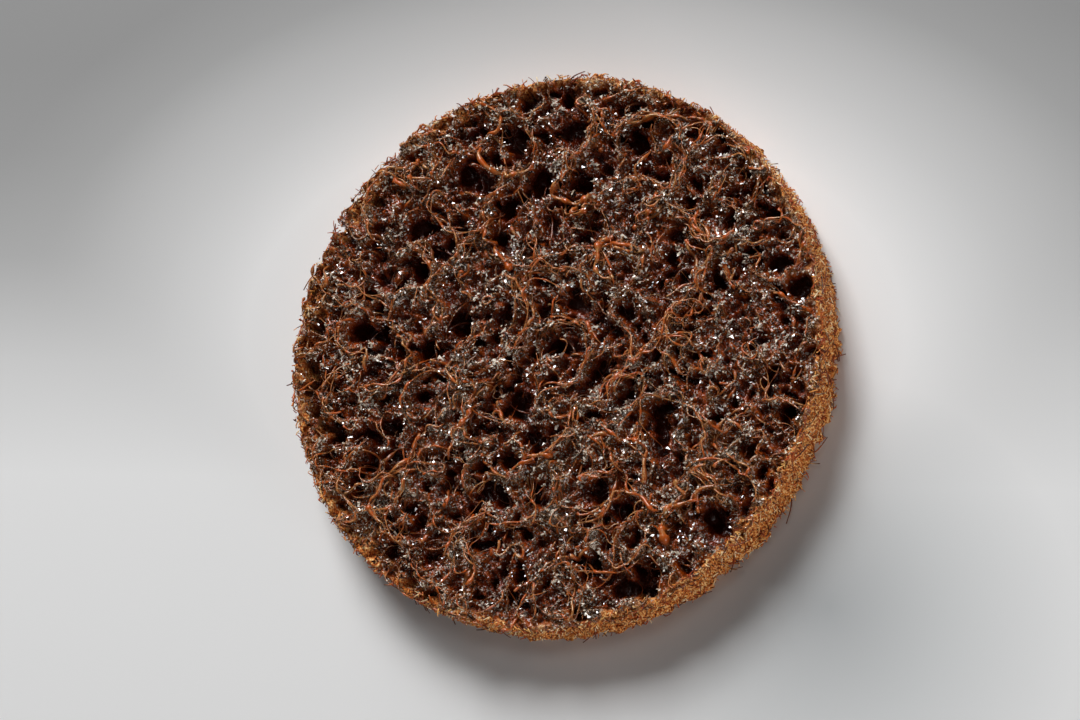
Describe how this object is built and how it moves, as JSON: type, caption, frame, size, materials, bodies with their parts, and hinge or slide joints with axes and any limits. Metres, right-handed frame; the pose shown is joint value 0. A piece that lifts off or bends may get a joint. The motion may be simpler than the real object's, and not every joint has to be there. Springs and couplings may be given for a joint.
{
  "type": "surface conditioning disc",
  "caption": "Round abrasive pad of bonded nonwoven fibre web, with an open curled-fibre face, a felted cut rim and a flat back.",
  "frame": {"origin": "centre of the flat back, on the disc's axis", "axes": "+Z along the disc's axis and out of the abrasive face; the disc is round, so X and Y are any two directions across it"},
  "size_m": [0.0508, 0.0506, 0.0062],
  "materials": {
    "abrasive_web": "brown resin-bonded nylon fibre web with glinting grit, tan where it is cut"
  },
  "bodies": {
    "root": {"conditioning_disc": "abrasive_web"}
  },
  "joints": []
}
